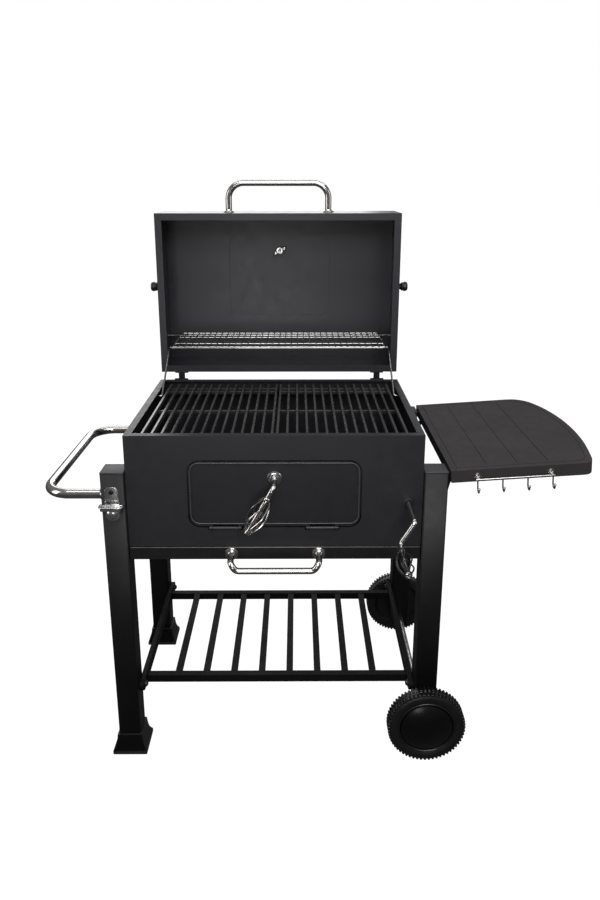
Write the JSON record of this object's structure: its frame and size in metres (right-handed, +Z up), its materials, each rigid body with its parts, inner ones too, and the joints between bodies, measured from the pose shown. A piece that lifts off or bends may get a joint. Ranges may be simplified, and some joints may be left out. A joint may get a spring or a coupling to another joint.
{
  "type": "charcoal trolley grill",
  "caption": "Box-shaped charcoal grill on a wheeled stand, with hinged lid, warming rack, front charcoal door, crank-lifted tray, ash drawer, lower shelf, push handle and fold-down side table.",
  "frame": {"origin": "on the floor, under the middle of the object's bounding box, with the lid open as stored", "axes": "+X to the side table on the user's right, +Y to the rear away from the user, +Z up"},
  "size_m": [1.2218, 0.8428, 1.3095],
  "materials": {
    "body_paint": "satin charcoal stove paint",
    "dark_paint": "satin black paint",
    "enamel": "semi-gloss black enamel",
    "chrome": "polished",
    "bright_steel": "bright plated",
    "black_plastic": "moulded, slight sheen",
    "wheel_tread": "moulded, matt",
    "table_plastic": "fine grained, matt"
  },
  "bodies": {
    "stand": {"firebox_shell": "body_paint", "grate_ledge_front": "dark_paint", "grate_ledge_rear": "dark_paint", "drawer_runner_left": "dark_paint", "drawer_runner_right": "dark_paint", "door_hinge_left": "dark_paint", "door_hinge_right": "dark_paint", "crank_bushing": "black_plastic", "lid_hinge_lower_left": "dark_paint", "lid_hinge_lower_right": "dark_paint", "shelf_rail_left": "dark_paint", "shelf_rail_right": "dark_paint", "leg_left_front": "body_paint", "leg_left_rear": "body_paint", "leg_right_front": "body_paint", "leg_right_rear": "body_paint", "leg_cap_left_front": "black_plastic", "leg_cap_left_rear": "black_plastic", "leg_cap_right_front": "black_plastic", "leg_cap_right_rear": "black_plastic", "shelf_grid": "dark_paint", "axle": "bright_steel", "foot_front": "black_plastic", "foot_rear": "black_plastic", "table_bracket_front": "dark_paint", "table_bracket_rear": "dark_paint", "side_handle": "chrome", "bottle_opener": "bright_steel"},
    "lid": {"lid_shell": "body_paint", "lid_handle": "chrome", "thermometer": "bright_steel", "thermometer_nut": "bright_steel", "lid_hinge_upper_left": "dark_paint", "lid_hinge_upper_right": "dark_paint"},
    "vent_left": {"vent_disc_left": "black_plastic"},
    "vent_right": {"vent_disc_right": "black_plastic"},
    "rack": {"warming_rack": "chrome"},
    "rack_leg_l": {"rack_leg_left": "chrome"},
    "rack_leg_r": {"rack_leg_right": "chrome"},
    "grate_l": {"grate_left": "enamel"},
    "grate_r": {"grate_right": "enamel"},
    "tray": {"charcoal_tray": "dark_paint"},
    "crank": {"crank_shaft": "chrome", "crank_grip": "dark_paint"},
    "drawer": {"ash_drawer": "body_paint", "drawer_handle": "chrome"},
    "door": {"door_panel": "body_paint", "latch_escutcheon": "chrome"},
    "latch": {"latch_arm": "chrome", "latch_grip": "chrome", "latch_tongue": "bright_steel"},
    "wheel_front": {"tyre_front": "wheel_tread", "wheel_disc_front": "black_plastic", "hub_cap_front": "black_plastic"},
    "wheel_rear": {"tyre_rear": "wheel_tread", "wheel_disc_rear": "black_plastic", "hub_cap_rear": "black_plastic"},
    "table": {"table_top": "table_plastic", "hook_rail": "chrome"}
  },
  "joints": [
    {"name": "lid_hinge", "type": "hinge", "parent": "stand", "child": "lid", "pos_m": [-0.09815, 0.2374, 0.78425], "axis": [1, 0, 0], "range_deg": [0, 90]},
    {"name": "vent_left_turn", "type": "hinge", "parent": "lid", "child": "vent_left", "pos_m": [-0.41815, 0.32615, 1.028], "axis": [1, 0, 0], "range_deg": [-30, 30]},
    {"name": "vent_right_turn", "type": "hinge", "parent": "lid", "child": "vent_right", "pos_m": [0.22185, 0.32615, 1.028], "axis": [1, 0, 0], "range_deg": [-30, 30]},
    {"name": "rack_level", "type": "hinge", "parent": "lid", "child": "rack", "pos_m": [-0.09815, 0.3774, 0.87925], "axis": [1, 0, 0], "range_deg": [-90, 0]},
    {"name": "rack_leg_left_swing", "type": "hinge", "parent": "stand", "child": "rack_leg_l", "pos_m": [-0.39815, 0.11315, 0.778], "axis": [1, 0, 0], "range_deg": [0, 90]},
    {"name": "rack_leg_right_swing", "type": "hinge", "parent": "stand", "child": "rack_leg_r", "pos_m": [0.20185, 0.11315, 0.778], "axis": [1, 0, 0], "range_deg": [0, 90]},
    {"name": "grate_left_lift", "type": "slide", "parent": "stand", "child": "grate_l", "axis": [0, 0, 1], "range_m": [0, 0.09]},
    {"name": "grate_right_lift", "type": "slide", "parent": "stand", "child": "grate_r", "axis": [0, 0, 1], "range_m": [0, 0.09]},
    {"name": "crank_turn", "type": "hinge", "parent": "stand", "child": "crank", "pos_m": [0.19085, -0.20935, 0.635], "axis": [0, 1, 0], "range_deg": [-230, 290]},
    {"name": "tray_lift", "type": "slide", "parent": "stand", "child": "tray", "axis": [0, 0, 1], "range_m": [-0.048, 0.06]},
    {"name": "drawer_slide", "type": "slide", "parent": "stand", "child": "drawer", "axis": [0, -1, 0], "range_m": [0, 0.3]},
    {"name": "door_hinge", "type": "hinge", "parent": "stand", "child": "door", "pos_m": [-0.09815, -0.21135, 0.577], "axis": [1, 0, 0], "range_deg": [0, 90]},
    {"name": "latch_turn", "type": "hinge", "parent": "door", "child": "latch", "pos_m": [-0.09815, -0.20935, 0.693], "axis": [0, 1, 0], "range_deg": [-28.7, 61.3]},
    {"name": "wheel_front_spin", "type": "hinge", "parent": "stand", "child": "wheel_front", "pos_m": [0.24835, -0.23885, 0.09], "axis": [0, 1, 0], "continuous": true},
    {"name": "wheel_rear_spin", "type": "hinge", "parent": "stand", "child": "wheel_rear", "pos_m": [0.24835, 0.25515, 0.09], "axis": [0, 1, 0], "continuous": true},
    {"name": "table_fold", "type": "hinge", "parent": "stand", "child": "table", "pos_m": [0.28685, 0.00815, 0.694], "axis": [0, 1, 0], "range_deg": [0, 88]}
  ],
  "couplings": [
    {"joint": "rack_level", "follows": "lid_hinge", "ratio": -1},
    {"joint": "rack_leg_left_swing", "follows": "lid_hinge", "ratio": 1},
    {"joint": "rack_leg_right_swing", "follows": "lid_hinge", "ratio": 1},
    {"joint": "crank_turn", "follows": "tray_lift", "rad_per_m": 83.333}
  ]
}
